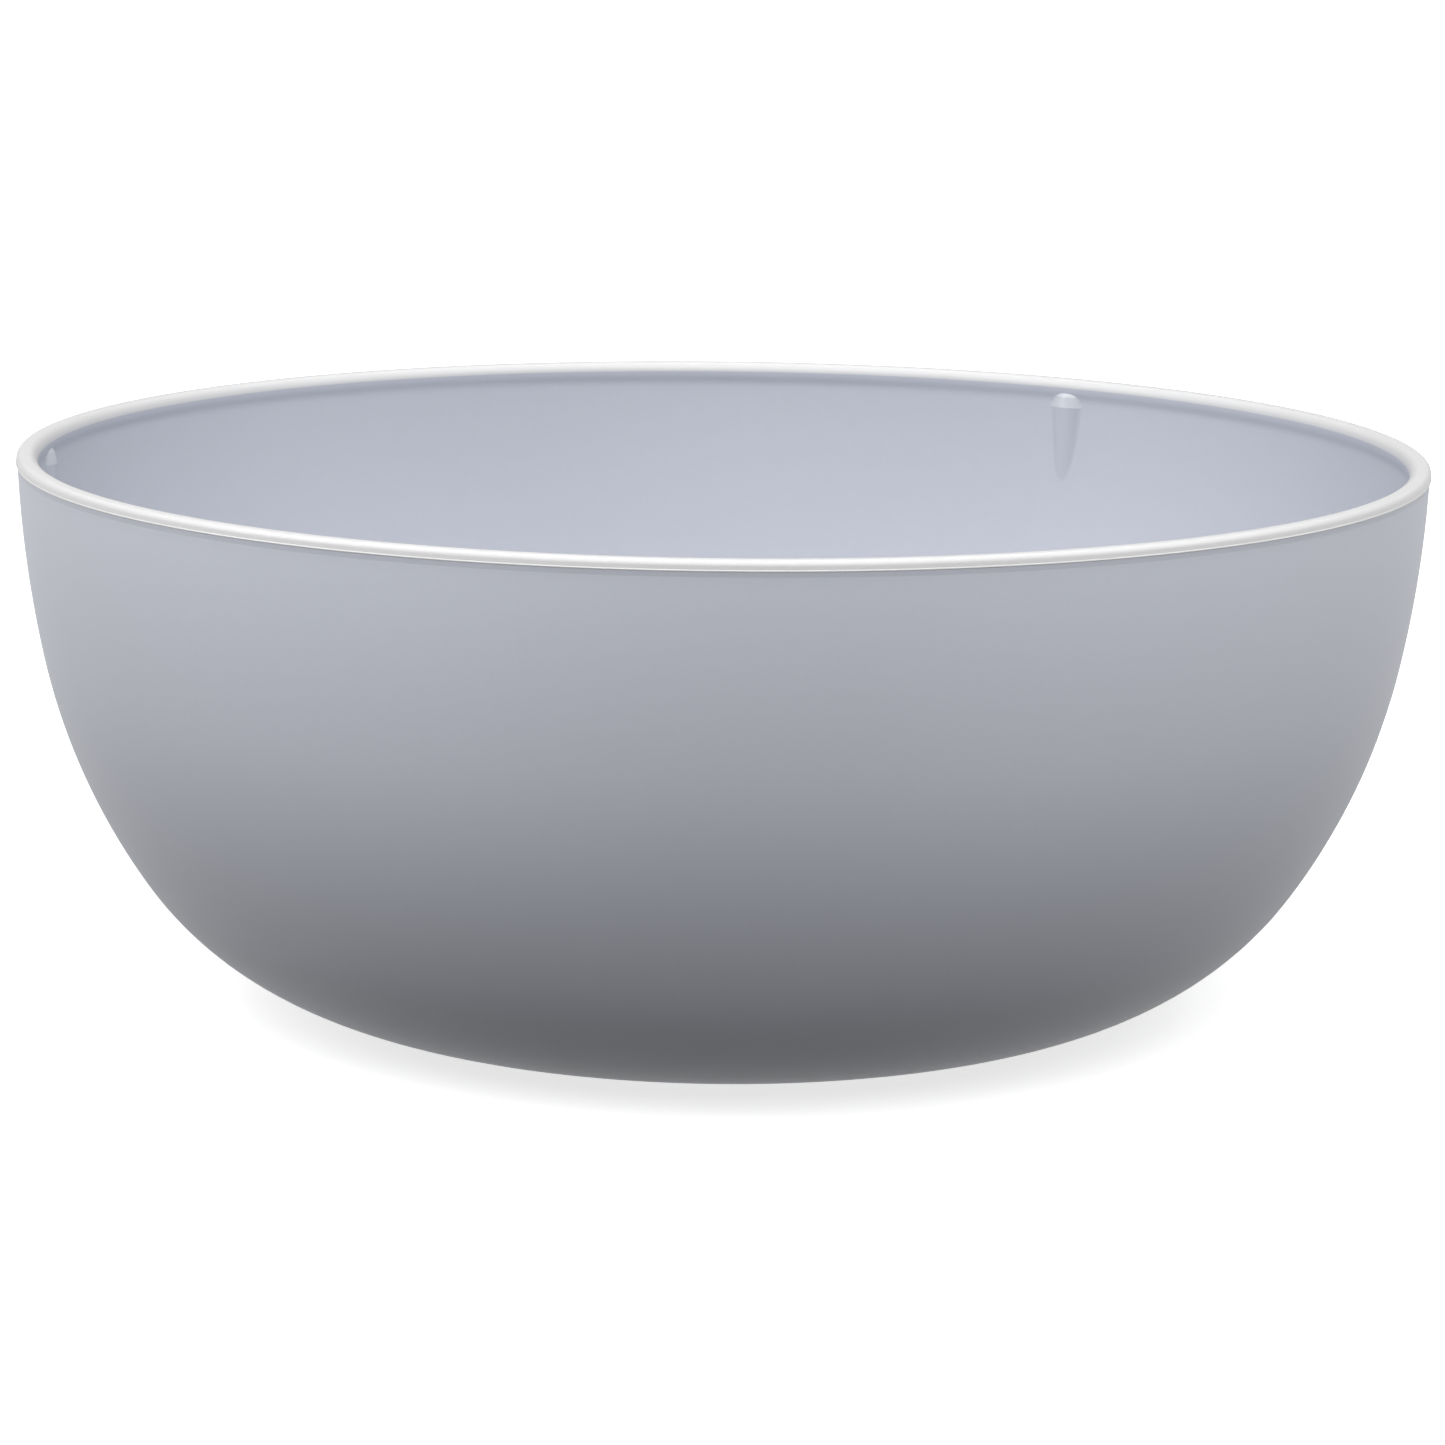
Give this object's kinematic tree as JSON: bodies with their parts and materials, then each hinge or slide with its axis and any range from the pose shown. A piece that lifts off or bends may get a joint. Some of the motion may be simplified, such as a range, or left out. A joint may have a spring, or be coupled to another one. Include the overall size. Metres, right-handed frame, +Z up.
{
  "type": "serving bowl",
  "caption": "Round one-piece plastic serving bowl for chips and dip, with a rounded rim, a flat foot and nesting pegs inside under the rim.",
  "frame": {"origin": "on the bowl's axis, in the plane that the foot ring rests on", "axes": "+Z up along the bowl's axis; one nesting peg stands 56 degrees from +X towards +Y, the others follow at equal steps"},
  "size_m": [0.2808, 0.2808, 0.112],
  "materials": {
    "bowl_plastic": "fine moulded grain, satin on the rim"
  },
  "bodies": {
    "root": {"bowl": "bowl_plastic"}
  },
  "joints": []
}
